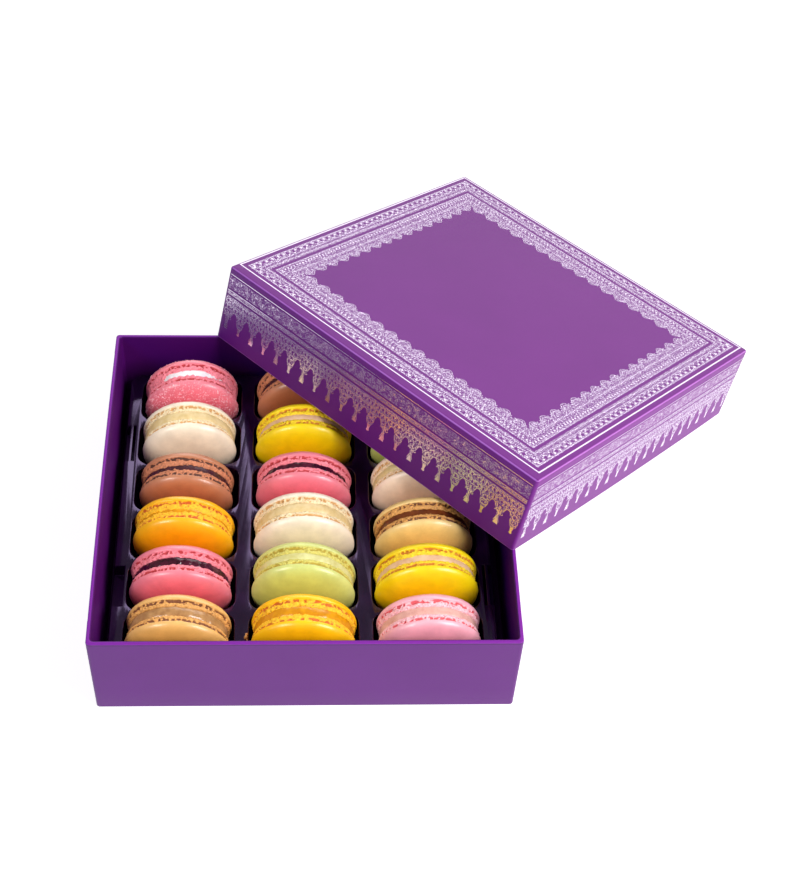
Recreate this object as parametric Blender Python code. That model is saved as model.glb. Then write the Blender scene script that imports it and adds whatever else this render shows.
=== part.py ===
# Gift box of eighteen macarons in a moulded tray, with the loose lid leaning on the box.
# Metres, +Z up, the front towards -Y. The origin is at the middle of the box's underside.
import random
from math import asin, cos, pi, radians, sin, tan

import bmesh
import bpy
from mathutils import Matrix, Vector

MM = 0.001
GAP = 0.3 * MM

# The box, a tray of paper-wrapped board
BOX_WIDTH = 200 * MM
BOX_DEPTH = 195 * MM
BOX_HEIGHT = 54 * MM
BOX_BOARD = 2 * MM
BOX_BOW = 0.5 * MM

# The lid, which slides over the box with a little play
LID_BOARD = 1.6 * MM
LID_PLAY = 0.4 * MM
LID_HEIGHT = 44 * MM
LID_BOW = 0.9 * MM
LID_YAW = radians(-44.3)
LID_OVERHANG = 2 * MM

# Both are folded from board, so their corners and edges are slightly round
CORNER_RADIUS = 1.6 * MM
EDGE_RADIUS = 0.5 * MM
CORNER_STEPS = 2
SIDE_STEPS = 4

# The moulded tray: three columns of six wells
COLUMNS = 3
ROWS = 6
COLUMN_PITCH = 59.5 * MM
ROW_PITCH = 30.3 * MM
LAND_HEIGHT = 28 * MM
TRAY_TOP_WIDTH = 185 * MM
TRAY_TOP_DEPTH = 187 * MM
TRAY_FOOT_WIDTH = 193 * MM
TRAY_FOOT_DEPTH = 188 * MM
TRAY_SHIFT_X = -1.0 * MM
TRAY_SHIFT_Y = -1.0 * MM
WELL_WIDTH = 52.5 * MM
WELL_LENGTH = 28 * MM
WELL_FLOOR = 3 * MM
WELL_CORNER_ACROSS = 5 * MM
WELL_CORNER_ALONG = 5.6 * MM
CHANNEL_WIDTH = 34 * MM
CHANNEL_FLOOR = 14 * MM
NOTCH_LENGTH = 24 * MM
NOTCH_WIDTH = 5 * MM
NOTCH_FLOOR = 20 * MM
RIB_WIDTH = 1.6 * MM

# One macaron: two shells with a craggy foot, and the filling between them
FOOT_HEIGHT = 2.3 * MM
DOME_HEIGHT = 8.0 * MM
DOME_POWER = 2.4
SEGMENTS = 18

# Shell colours, sRGB
SHELLS = {
    "rose": "#f27486",
    "blush": "#f6b2bf",
    "cream": "#efd8b6",
    "ivory": "#ecd3bd",
    "lemon": "#f2ce12",
    "apricot": "#f2a20c",
    "amber": "#f3b012",
    "pistachio": "#d3cd72",
    "coffee": "#dfa058",
    "caramel": "#d29a58",
    "cocoa": "#a5654f",
}

# Filling colours, sRGB
FILLINGS = {
    "white_cream": "#f3f1ee",
    "vanilla_cream": "#e6cf9e",
    "dark_ganache": "#5a2f35",
    "apricot_curd": "#c9820e",
    "dark_jam": "#2c0d18",
    "salted_toffee": "#a98055",
    "pale_mousse": "#d9c3bf",
    "pistachio_cream": "#e3e3ab",
    "amber_curd": "#d99408",
    "brown_toffee": "#7a4318",
    "pink_cream": "#efb7b9",
}

# Row by row from the back, left to right: shell, filling, filling's thickness in mm,
# lean of the top towards the viewer in degrees, turn in degrees, shift to the viewer in mm,
# width across the shells in mm
MACARONS = [
    [("rose", "white_cream", 4.4, 4, 2, 0.6, 49.0),
     ("cocoa", "dark_ganache", 3.6, 5, 3, 0.0, 49.8),
     ("cream", "vanilla_cream", 3.8, 4, -2, 0.2, 50.0)],
    [("cream", "vanilla_cream", 5.0, 3, 2, -0.6, 48.4),
     ("lemon", "pale_mousse", 3.4, 5, -1, 0.8, 50.0),
     ("pistachio", "pistachio_cream", 3.6, 5, 1, 0.4, 50.0)],
    [("cocoa", "dark_ganache", 3.8, 7, -2, 1.0, 47.4),
     ("rose", "dark_jam", 3.2, 6, -2, 0.9, 48.6),
     ("ivory", "vanilla_cream", 3.8, 4, 2, 0.3, 50.2)],
    [("apricot", "apricot_curd", 3.0, 5, -2, 0.3, 49.8),
     ("cream", "vanilla_cream", 5.2, 3, 1, -0.2, 50.2),
     ("coffee", "brown_toffee", 3.6, 5, 2, 0.9, 49.2)],
    [("rose", "dark_jam", 4.2, 7, -1, -0.2, 49.6),
     ("pistachio", "pistachio_cream", 3.8, 1, -3, -0.1, 50.4),
     ("lemon", "pale_mousse", 3.6, 4, 1, 0.0, 50.8)],
    [("caramel", "salted_toffee", 5.0, 4, -2, -0.4, 50.0),
     ("amber", "amber_curd", 5.0, 4, -2, -0.2, 50.4),
     ("blush", "pink_cream", 4.4, 5, 1, -0.9, 49.8)],
]


def linear(colour):
    """Turn an sRGB hex colour into the linear values that a shader takes."""
    channels = [int(colour[i:i + 2], 16) / 255 for i in (1, 3, 5)]
    return [c / 12.92 if c <= 0.04045 else ((c + 0.055) / 1.055) ** 2.4 for c in channels]


def make_material(name, colour, roughness):
    """A plain, non-metallic finish."""
    material = bpy.data.materials.get(name)
    if material is None:
        material = bpy.data.materials.new(name)
        material.use_nodes = True
        shader = material.node_tree.nodes["Principled BSDF"]
        shader.inputs["Base Color"].default_value = (*linear(colour), 1)
        shader.inputs["Roughness"].default_value = roughness
        shader.inputs["Metallic"].default_value = 0
    return material


def make_object(name, bm, material, parent=None):
    """Put a finished bmesh into the scene as one named sub-part."""
    bmesh.ops.recalc_face_normals(bm, faces=bm.faces)
    mesh = bpy.data.meshes.new(name)
    bm.to_mesh(mesh)
    bm.free()
    mesh.materials.append(material)
    mesh.shade_smooth()
    mesh.set_sharp_from_angle(angle=radians(35))
    obj = bpy.data.objects.new(name, mesh)
    bpy.context.scene.collection.objects.link(obj)
    obj.parent = parent
    return obj


def add_ring(bm, points):
    return [bm.verts.new(point) for point in points]


def join_rings(bm, lower, upper):
    """Close the band between two rings that have the same number of points."""
    count = len(lower)
    for i in range(count):
        j = (i + 1) % count
        bm.faces.new((lower[i], lower[j], upper[j], upper[i]))


def board_outline(width, depth, radius, z):
    """A rectangle with round corners and a few points along each side."""
    corners = [(1, 1, 0), (-1, 1, pi / 2), (-1, -1, pi), (1, -1, 1.5 * pi)]
    points = []
    for i, (sx, sy, start) in enumerate(corners):
        centre = Vector((sx * (width / 2 - radius), sy * (depth / 2 - radius), z))
        for step in range(CORNER_STEPS + 1):
            angle = start + pi / 2 * step / CORNER_STEPS
            points.append(centre + radius * Vector((cos(angle), sin(angle), 0)))
        next_x, next_y, next_start = corners[(i + 1) % 4]
        next_centre = Vector((next_x * (width / 2 - radius), next_y * (depth / 2 - radius), z))
        begin = points[-1]
        end = next_centre + radius * Vector((cos(next_start), sin(next_start), 0))
        for step in range(1, SIDE_STEPS):
            points.append(begin.lerp(end, step / SIDE_STEPS))
    return points


def bow_sides(bm, width, depth, height, bow):
    """Let the open edge of the two X walls bow outwards between their corners."""
    for vert in bm.verts:
        if abs(vert.co.x) > width / 2 - 3 * MM:
            along = 1 - (2 * vert.co.y / depth) ** 2
            vert.co.x += (bow if vert.co.x > 0 else -bow) * max(along, 0) * vert.co.z / height


def board_box(width, depth, height, board, bow):
    """An open-topped box of folded board, its underside at z = 0."""
    bm = bmesh.new()
    profile = [
        (EDGE_RADIUS, 0),
        (0, EDGE_RADIUS),
        (0, height - EDGE_RADIUS),
        (EDGE_RADIUS, height),
        (board - EDGE_RADIUS, height),
        (board, height - EDGE_RADIUS),
        (board, board),
    ]
    rings = []
    for inset, z in profile:
        radius = max(CORNER_RADIUS - inset, 0.3 * MM)
        points = board_outline(width - 2 * inset, depth - 2 * inset, radius, z)
        rings.append(add_ring(bm, points))
    for lower, upper in zip(rings, rings[1:]):
        join_rings(bm, lower, upper)
    bm.faces.new(rings[0])
    bm.faces.new(rings[-1])
    bow_sides(bm, width, depth, height, bow)
    return bm


def lid_size():
    grow = 2 * (LID_BOARD + LID_PLAY)
    return BOX_WIDTH + grow, BOX_DEPTH + grow


def lid_pose():
    """Where the lid leans: its far edge on the table, its two near corners on the box's rims.

    The lid's side walls cross the back rim and the right rim LID_OVERHANG in from its near
    edge. The near edge's height follows, and with it the tilt.
    """
    width, depth = lid_size()
    along = Vector((cos(LID_YAW), sin(LID_YAW)))
    away = Vector((-sin(LID_YAW), cos(LID_YAW)))
    near_height = BOX_HEIGHT + GAP
    for _ in range(8):
        tilt = asin(near_height / (depth - EDGE_RADIUS))
        near_height = BOX_HEIGHT + GAP + (LID_OVERHANG + BOX_BOW / away.x) * tan(tilt)
    reach = depth / 2 * cos(tilt)
    near_x = BOX_WIDTH / 2 - LID_OVERHANG * away.x
    near_y = BOX_DEPTH / 2 - LID_OVERHANG * away.y
    centre_x = near_x - width / 2 * along.x + reach * away.x
    centre_y = near_y + width / 2 * along.y + reach * away.y
    centre_z = near_height - depth / 2 * sin(tilt)
    return Vector((centre_x, centre_y, centre_z)), tilt


def build_box(material):
    bm = board_box(BOX_WIDTH, BOX_DEPTH, BOX_HEIGHT, BOX_BOARD, BOX_BOW)
    return make_object("box", bm, material)


def build_lid(material):
    width, depth = lid_size()
    bm = board_box(width, depth, LID_HEIGHT, LID_BOARD, LID_BOW)
    turn_over = Matrix.Translation((0, 0, LID_HEIGHT)) @ Matrix.Rotation(pi, 4, "X")
    bmesh.ops.transform(bm, matrix=turn_over, verts=bm.verts)
    lid = make_object("lid", bm, material)
    lid.location, tilt = lid_pose()
    lid.rotation_euler = (-tilt, 0, LID_YAW)
    return lid


def well_centre(row, column):
    x = (column - (COLUMNS - 1) / 2) * COLUMN_PITCH + TRAY_SHIFT_X
    y = ((ROWS - 1) / 2 - row) * ROW_PITCH + TRAY_SHIFT_Y
    return x, y


def chamfered_rectangle(half_x, half_y, cut_x, cut_y, centre, z):
    """Eight points, anticlockwise seen from above."""
    x, y = centre
    return [
        (x + half_x, y - half_y + cut_y, z), (x + half_x, y + half_y - cut_y, z),
        (x + half_x - cut_x, y + half_y, z), (x - half_x + cut_x, y + half_y, z),
        (x - half_x, y + half_y - cut_y, z), (x - half_x, y - half_y + cut_y, z),
        (x - half_x + cut_x, y - half_y, z), (x + half_x - cut_x, y - half_y, z),
    ]


def stacked_solid(bm, sections):
    """A closed solid through eight-sided sections, listed from the lowest up."""
    rings = [add_ring(bm, section) for section in sections]
    for lower, upper in zip(rings, rings[1:]):
        join_rings(bm, lower, upper)
    bm.faces.new(reversed(rings[0]))
    bm.faces.new(rings[-1])


def box_solid(bm, low, high):
    centre = ((low[0] + high[0]) / 2, (low[1] + high[1]) / 2)
    half_x = (high[0] - low[0]) / 2
    half_y = (high[1] - low[1]) / 2
    corners = [(1, -1), (1, 1), (-1, 1), (-1, -1)]
    rings = []
    for z in (low[2], high[2]):
        rings.append(add_ring(bm, [(centre[0] + sx * half_x, centre[1] + sy * half_y, z)
                                   for sx, sy in corners]))
    join_rings(bm, rings[0], rings[1])
    bm.faces.new(reversed(rings[0]))
    bm.faces.new(rings[1])


def well_sections(centre):
    """A well follows the round edge of the macaron that stands in it."""
    half_x = WELL_WIDTH / 2
    half_y = WELL_LENGTH / 2
    above = LAND_HEIGHT + 2 * MM
    levels = [
        (0.36, 0.79, WELL_FLOOR),
        (0.58, 0.90, WELL_FLOOR + 3 * MM),
        (0.84, 1.00, WELL_FLOOR + 10 * MM),
        (1.00, 1.00, LAND_HEIGHT - 1 * MM),
        (1.00, 1.00, above),
    ]
    return [chamfered_rectangle(half_x * wide, half_y * long, WELL_CORNER_ACROSS * wide,
                                WELL_CORNER_ALONG * long, centre, z)
            for wide, long, z in levels]


def tray_cutter():
    """Everything that is hollow in the tray, as one object for a Boolean."""
    bm = bmesh.new()
    for row in range(ROWS):
        for column in range(COLUMNS):
            stacked_solid(bm, well_sections(well_centre(row, column)))
    for column in range(COLUMNS):
        x, back = well_centre(0, column)
        front = well_centre(ROWS - 1, column)[1]
        box_solid(bm, (x - CHANNEL_WIDTH / 2, front, CHANNEL_FLOOR),
                  (x + CHANNEL_WIDTH / 2, back, LAND_HEIGHT + 4 * MM))
    for side, row in ((-1, 4), (1, 1)):
        y = well_centre(row, 0)[1]
        edge = TRAY_SHIFT_X + side * TRAY_TOP_WIDTH / 2
        inner = edge - side * NOTCH_WIDTH
        outer = edge + side * 8 * MM
        box_solid(bm, (min(inner, outer), y - NOTCH_LENGTH / 2, NOTCH_FLOOR),
                  (max(inner, outer), y + NOTCH_LENGTH / 2, LAND_HEIGHT + 6 * MM))
    for side, row in ((-1, 1), (1, 4)):
        y = well_centre(row, 0)[1]
        outer_slot = TRAY_SHIFT_X + side * (TRAY_TOP_WIDTH / 2 + 8 * MM)
        middle = TRAY_SHIFT_X + side * (TRAY_TOP_WIDTH / 2 - NOTCH_WIDTH / 2)
        rib_edge = middle + side * RIB_WIDTH / 2
        box_solid(bm, (min(rib_edge, outer_slot), y - NOTCH_LENGTH / 2, NOTCH_FLOOR),
                  (max(rib_edge, outer_slot), y + NOTCH_LENGTH / 2, LAND_HEIGHT + 8 * MM))
        inner_low = middle - side * RIB_WIDTH / 2
        inner_high = middle - side * (RIB_WIDTH / 2 + 1.2 * MM)
        box_solid(bm, (min(inner_low, inner_high), y - NOTCH_LENGTH / 2, NOTCH_FLOOR),
                  (max(inner_low, inner_high), y + NOTCH_LENGTH / 2, LAND_HEIGHT + 10 * MM))
    bmesh.ops.recalc_face_normals(bm, faces=bm.faces)
    mesh = bpy.data.meshes.new("tray_hollows")
    bm.to_mesh(mesh)
    bm.free()
    cutter = bpy.data.objects.new("tray_hollows", mesh)
    bpy.context.scene.collection.objects.link(cutter)
    cutter.hide_render = True
    cutter.display_type = "WIRE"
    return cutter


def build_tray(material):
    """A drafted block with the wells cut down into it."""
    bottom = BOX_BOARD + GAP
    bm = bmesh.new()
    foot = (TRAY_FOOT_WIDTH / 2, TRAY_FOOT_DEPTH / 2)
    top = (TRAY_TOP_WIDTH / 2, TRAY_TOP_DEPTH / 2)
    centre = (TRAY_SHIFT_X, TRAY_SHIFT_Y)
    round_off = 6 * MM
    edge = 1.0 * MM
    stacked_solid(bm, [
        chamfered_rectangle(*foot, round_off, round_off, centre, bottom),
        chamfered_rectangle(*top, round_off, round_off, centre, LAND_HEIGHT - edge),
        chamfered_rectangle(top[0] - edge, top[1] - edge, round_off, round_off, centre, LAND_HEIGHT),
    ])
    tray = make_object("tray", bm, material)
    cut = tray.modifiers.new("hollows", "BOOLEAN")
    cut.operation = "DIFFERENCE"
    cut.object = tray_cutter()
    cut.use_self = True
    return tray


def dome_profile(radius, base, height):
    """Radius and height from the dome's widest ring towards its crown."""
    points = []
    for angle in (0, 34, 62):
        r = radius * cos(radians(angle)) ** (2 / DOME_POWER)
        z = base + height * sin(radians(angle)) ** (2 / DOME_POWER)
        points.append((r, z))
    return points


def shell_mesh(radius, half_filling, draw):
    """One shell about local Z, its flat face towards the filling and its crown at the top.

    The foot is the craggy band next to the filling: its ring has a seeded uneven radius.
    """
    flat = half_filling + GAP
    lip = flat + FOOT_HEIGHT + 0.9 * MM
    crown = flat + FOOT_HEIGHT + DOME_HEIGHT
    profile = [
        (0.925 * radius, flat, 0.012),
        (0.972 * radius, flat + 0.45 * FOOT_HEIGHT, 0.016),
        (0.955 * radius, flat + FOOT_HEIGHT, 0.006),
    ]
    profile += [(r, z, 0.003) for r, z in dome_profile(radius, lip, crown - lip)]
    bm = bmesh.new()
    rings = []
    for r, z, uneven in profile:
        points = []
        for step in range(SEGMENTS):
            angle = 2 * pi * step / SEGMENTS
            reach = r * (1 + draw.uniform(-uneven, uneven))
            points.append((reach * cos(angle), reach * sin(angle), z))
        rings.append(add_ring(bm, points))
    for lower, upper in zip(rings, rings[1:]):
        join_rings(bm, lower, upper)
    close_with_fan(bm, rings[0], flat)
    close_with_fan(bm, rings[-1], crown)
    return bm


def filling_mesh(radius, half_filling, draw):
    """A disc whose edge bulges a little between the two shells."""
    bm = bmesh.new()
    rings = []
    for share, z in ((0.905, -half_filling), (0.94, 0), (0.905, half_filling)):
        points = []
        for step in range(SEGMENTS):
            angle = 2 * pi * step / SEGMENTS
            reach = radius * share * (1 + draw.uniform(-0.008, 0.008))
            points.append((reach * cos(angle), reach * sin(angle), z))
        rings.append(add_ring(bm, points))
    for lower, upper in zip(rings, rings[1:]):
        join_rings(bm, lower, upper)
    close_with_fan(bm, rings[0], -half_filling)
    close_with_fan(bm, rings[-1], half_filling)
    return bm


def close_with_fan(bm, ring, z):
    """Close a ring with triangles round one middle point."""
    middle = bm.verts.new((0, 0, z))
    for i, vert in enumerate(ring):
        bm.faces.new((vert, ring[(i + 1) % len(ring)], middle))


def build_macaron(row, column):
    """Two shells and a filling, standing on edge in their well."""
    shell, filling, thickness, lean, turn, shift, width = MACARONS[row][column]
    draw = random.Random(10 * row + column)
    radius = width / 2 * MM
    half_filling = thickness / 2 * MM
    widest = half_filling + GAP + FOOT_HEIGHT + 0.9 * MM
    lean = radians(lean)
    x, y = well_centre(row, column)
    z = WELL_FLOOR + GAP + radius * cos(lean) + widest * sin(lean)

    place = f"r{row + 1}c{column + 1}"
    stand = bpy.data.objects.new(f"macaron_{place}", None)
    bpy.context.scene.collection.objects.link(stand)
    stand.location = (x, y - shift * MM, z)
    stand.rotation_euler = (pi / 2 + lean, 0, radians(turn))

    shell_finish = make_material(f"{shell}_shell", SHELLS[shell], 0.55)
    filling_finish = make_material(f"{filling}_filling", FILLINGS[filling], 0.35)
    make_object(f"front_shell_{place}", shell_mesh(radius, half_filling, draw), shell_finish, stand)
    make_object(f"filling_{place}", filling_mesh(radius, half_filling, draw), filling_finish, stand)
    back = make_object(f"back_shell_{place}", shell_mesh(radius, half_filling, draw), shell_finish, stand)
    back.rotation_euler = (pi, 0, 0)


def main():
    for obj in list(bpy.data.objects):
        bpy.data.objects.remove(obj, do_unlink=True)
    paper = make_material("purple_paper", "#84439a", 0.5)
    lid_paper = make_material("lid_paper", "#8d4a9c", 0.5)
    moulded = make_material("dark_moulding", "#2a1a36", 0.35)
    build_box(paper)
    build_lid(lid_paper)
    build_tray(moulded)
    for row in range(ROWS):
        for column in range(COLUMNS):
            build_macaron(row, column)


main()
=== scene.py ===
# %% [markdown]
# A gift box of eighteen macarons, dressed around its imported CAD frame. The real thing is a
# board box wrapped in purple paper, a thin moulded tray, macarons that stand on edge in it,
# and a lid with a silver lace border that leans on a corner of the box. Every new piece is
# built in metres in the frame's own place, so nothing has to be moved afterwards.

import random
from math import cos, pi, radians, sin

import bmesh
import bpy
from mathutils import Euler, Matrix, Vector, noise


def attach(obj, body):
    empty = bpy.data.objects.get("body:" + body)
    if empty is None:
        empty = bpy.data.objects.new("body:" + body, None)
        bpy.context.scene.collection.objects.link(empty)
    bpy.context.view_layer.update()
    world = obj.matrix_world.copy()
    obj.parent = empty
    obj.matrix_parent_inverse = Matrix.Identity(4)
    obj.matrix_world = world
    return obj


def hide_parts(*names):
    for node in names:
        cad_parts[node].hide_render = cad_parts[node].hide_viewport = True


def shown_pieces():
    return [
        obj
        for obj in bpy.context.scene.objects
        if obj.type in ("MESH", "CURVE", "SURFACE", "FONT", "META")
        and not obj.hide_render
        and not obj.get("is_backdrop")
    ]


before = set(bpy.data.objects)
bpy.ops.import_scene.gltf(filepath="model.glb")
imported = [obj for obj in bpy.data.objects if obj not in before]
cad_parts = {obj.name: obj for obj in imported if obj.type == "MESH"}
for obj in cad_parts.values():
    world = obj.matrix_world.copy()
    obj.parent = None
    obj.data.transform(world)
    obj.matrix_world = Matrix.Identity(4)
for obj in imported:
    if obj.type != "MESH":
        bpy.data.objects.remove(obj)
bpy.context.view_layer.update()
MM = 0.001

# %% [markdown]
# The camera looks down on the open box at about fifty degrees. Its place was worked out from
# the corners of the box and the lid. The small shift keeps the picture's own framing.

# %% Place the camera
camera_data = bpy.data.cameras.new("camera")
camera_data.sensor_fit = "HORIZONTAL"
camera_data.sensor_width = 36
camera_data.lens = 73.354
camera_data.shift_x = 0.0298
camera_data.shift_y = 0.0282
camera = bpy.data.objects.new("camera", camera_data)
camera.location = (-0.00104, -0.50760, 0.67956)
camera.rotation_euler = (0.691368, -0.034479, -0.027925)
bpy.context.scene.collection.objects.link(camera)
bpy.context.scene.camera = camera
print("camera at", tuple(camera.location))

# %% [markdown]
# A few small helpers serve every step. They turn a colour written as a hex code into the linear
# values that a shader takes, add a node and fill its sockets, and make a finished bmesh a piece of
# the object that rides on its body and stands for its CAD nodes.

# %% Helpers for colours and nodes
def rgba(colour):
    channels = [int(colour[i:i + 2], 16) / 255 for i in (1, 3, 5)]
    return [c / 12.92 if c <= 0.04045 else ((c + 0.055) / 1.055) ** 2.4 for c in channels] + [1]


def fill(tree, node, sockets):
    """A socket takes a plain value or another node's output."""
    for name, value in sockets.items():
        if isinstance(value, bpy.types.NodeSocket):
            tree.links.new(value, node.inputs[name])
        else:
            node.inputs[name].default_value = value
    return node


def add(tree, kind, sockets=None, **settings):
    """One shader node, set up and filled."""
    made = tree.nodes.new("ShaderNode" + kind)
    for name, value in settings.items():
        setattr(made, name, value)
    return fill(tree, made, sockets or {})


print("white in linear values", rgba("#ffffff"))

# %% Helpers for pieces
def as_mesh(name, bm):
    mesh = bpy.data.meshes.new(name)
    bm.to_mesh(mesh)
    bm.free()
    return mesh


def as_object(name, data):
    made = bpy.data.objects.new(name, data)
    bpy.context.scene.collection.objects.link(made)
    return made


def new_piece(name, bm, material, nodes=(), sharp=None):
    """A finished bmesh becomes one named piece, its place in its mesh."""
    mesh = as_mesh(name, bm)
    mesh.materials.append(material)
    mesh.shade_smooth()
    if sharp:
        mesh.set_sharp_from_angle(angle=radians(sharp))
    piece = as_object(name, mesh)
    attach(piece, "root")
    if nodes:
        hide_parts(*nodes)
    return piece


print("helpers ready")

# %% [markdown]
# Effects that several finishes share are node groups with named sockets. The first gives a
# slow change of tone and a fine grain at any size. Paper, tray, fillings and shells all use
# it with their own numbers, and each keeps its Principled BSDF in its own material.

# %% Build the shared grain group
def new_group(name, inputs, outputs):
    """A shader node group, the values it takes and its exit. Socket names go by their kind."""
    group = bpy.data.node_groups.new(name, "ShaderNodeTree")
    for way, kinds in (("INPUT", inputs), ("OUTPUT", outputs)):
        for kind, labels in kinds.items():
            for label in labels:
                group.interface.new_socket(name=label, in_out=way, socket_type="NodeSocket" + kind)
    return group, group.nodes.new("NodeGroupInput").outputs, group.nodes.new("NodeGroupOutput")


def span(tree, value, to_low, to_high, low=0.0, high=1.0):
    """A value that runs from low to high is made to run from to_low to to_high."""
    return add(tree, "MapRange", {"Value": value, "From Min": low, "From Max": high,
                                  "To Min": to_low, "To Max": to_high}).outputs["Result"]


grain, taken, given = new_group(
    "grain", {"Vector": ["Vector"], "Float": ["Patch per metre", "Grain per metre"]},
    {"Float": ["Patches", "Grain"]})
patches = add(grain, "TexNoise", {"Vector": taken["Vector"], "Scale": taken["Patch per metre"],
                                  "Detail": 3.0, "Roughness": 0.55})
fine = add(grain, "TexNoise", {"Vector": taken["Vector"], "Scale": taken["Grain per metre"],
                               "Detail": 4.0, "Roughness": 0.6})
fill(grain, given, {"Patches": span(grain, patches.outputs["Fac"], 0.0, 1.0, 0.3, 0.7),
                    "Grain": fine.outputs["Fac"]})


def grained(tree, place, patch, fine):
    """The grain in a material or in another group, its two sizes in spots per metre."""
    return add(tree, "Group", {"Vector": place, "Patch per metre": patch, "Grain per metre": fine},
               node_tree=grain).outputs


print("group", grain.name, "with", len(grain.nodes), "nodes")

# %% [markdown]
# The box and the lid are wrapped in one kind of satin purple paper. Its colour wanders a
# little from place to place, and a fine grain breaks up its sheen. The mesh marks two places
# with attributes. Rims and folds take a paler colour, for stretched paper and a painted
# highlight. The insides take a darker lining colour, which also paints the shade inside the
# box and in a band under its rim.

# %% Helpers for materials
def start_material(name):
    material = bpy.data.materials.new(name)
    material.use_nodes = True
    tree = material.node_tree
    return material, tree, tree.nodes["Principled BSDF"]


def on_piece(tree):
    """Object coordinates, which are metres in the frame's own place."""
    return add(tree, "TexCoord").outputs["Object"]


def painted(tree, name):
    """What the mesh carries in an attribute."""
    return add(tree, "Attribute", attribute_name=name).outputs["Fac"]


def mix(tree, share, first, second):
    """Two colours mixed. Each is a hex code or a node's output."""
    first, second = (rgba(c) if isinstance(c, str) else c for c in (first, second))
    return add(tree, "Mix", {0: share, 6: first, 7: second}, data_type="RGBA").outputs[2]


def scaled(tree, colour, by):
    return add(tree, "VectorMath", {0: colour, "Scale": by}, operation="SCALE").outputs["Vector"]


def bumped(tree, height, strength, depth):
    return add(tree, "Bump", {"Height": height, "Strength": strength,
                              "Distance": depth}).outputs["Normal"]


print("material helpers ready")

# %% Make the paper finishes
def paper_finish(name, light, dark, worn_highlight, lining_shade, roughness):
    material, tree, shader = start_material(name)
    surface = grained(tree, on_piece(tree), patch=28.0, fine=2600.0)
    tone = mix(tree, surface["Patches"], dark, light)
    # The paler colour paints the highlight on rims and folds, as well as rubbed paper.
    rubbed_and_highlit = mix(tree, painted(tree, "fold"), tone, worn_highlight)
    # The darker lining colour also paints the shade inside the box and under its rim.
    lined_and_shaded = mix(tree, painted(tree, "inner"), rubbed_and_highlit, lining_shade)
    fill(tree, shader, {
        "Base Color": scaled(tree, lined_and_shaded, span(tree, surface["Grain"], 0.93, 1.06, 0.25, 0.75)),
        "Roughness": span(tree, surface["Grain"], roughness - 0.06, roughness + 0.06, 0.3, 0.7),
        "Normal": bumped(tree, surface["Grain"], strength=0.22, depth=0.06 * MM),
        "Specular IOR Level": 0.3})
    return material


# Light tone, dark tone, a paler colour for rims and folds (rubbed paper and painted highlight), and a
# darker lining colour that also paints shade.
BOX_PURPLE = ("#681d80", "#641b7b", "#8f2ba8", "#520769")
LID_PURPLE = ("#7d238c", "#792188", "#bd74cc", "#520769")
box_paper = paper_finish("box_purple_paper", *BOX_PURPLE, roughness=0.48)
lid_paper = paper_finish("lid_purple_paper", *LID_PURPLE, roughness=0.42)
print("papers", box_paper.name, lid_paper.name)

# %% [markdown]
# A box of folded board has walls of one thickness, slightly round corners and a soft rim. A
# cube loses its top, the open edge is extruded inwards and down for the inner walls, and the
# sharp edges are bevelled. Plane cuts give the side walls points to bow with. The paper's
# corner tabs on the box stand proud by a tenth of a millimetre, as where sheets lap.

# %% Sizes of the box and helpers to fold it
BOX_WIDTH, BOX_DEPTH, BOX_HEIGHT = 200 * MM, 195 * MM, 54 * MM
BOX_BOARD, BOX_BOW = 2 * MM, 0.5 * MM
CORNER_RADIUS, RIM_RADIUS = 1.6 * MM, 0.5 * MM
TAB_LENGTH, TAB_SLOPE = 13 * MM, 0.3 * MM
# Depths below the rim: a band of painted shade between the first two, and a top band in the paler colour
# of rubbed paper and painted highlight.
SHADE_UNDER_RIM, HIGHLIT_RIM = (1.5 * MM, 0.6 * MM), 0.55 * MM
# What counts as a long upright edge, as part of a side wall and as its outer face.
LONG_EDGE, WALL_ZONE, WALL_FACE = 10 * MM, 3 * MM, 0.3 * MM


def bevel(bm, edges, width, segments):
    return bmesh.ops.bevel(bm, geom=list(edges), offset=width, offset_type="OFFSET", segments=segments,
                           profile=0.5, affect="EDGES", clamp_overlap=True, material=-1)


def draw_in(bm, width, depth, inset, drop):
    """The open edge is extruded, drawn in by the board's thickness and let down."""
    rim = [e for e in bm.edges if e.is_boundary]
    made = bmesh.ops.extrude_edge_only(bm, edges=rim)["geom"]
    fresh = [v for v in made if isinstance(v, bmesh.types.BMVert)]
    bmesh.ops.scale(bm, vec=(1 - 2 * inset / width, 1 - 2 * inset / depth, 1), verts=fresh)
    bmesh.ops.translate(bm, vec=(0, 0, -drop), verts=fresh)


def cut(bm, point, normal, dist=1e-7, trim=False):
    """A plane cuts the mesh. Where it trims, what lies beyond it falls off."""
    bmesh.ops.bisect_plane(bm, geom=bm.verts[:] + bm.edges[:] + bm.faces[:], dist=dist,
                           plane_co=point, plane_no=normal, clear_outer=trim)


def upright(bm):
    return [e for e in bm.edges if abs(e.verts[0].co.z - e.verts[1].co.z) > LONG_EDGE]


print("box in mm", BOX_WIDTH / MM, BOX_DEPTH / MM, BOX_HEIGHT / MM)

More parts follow.
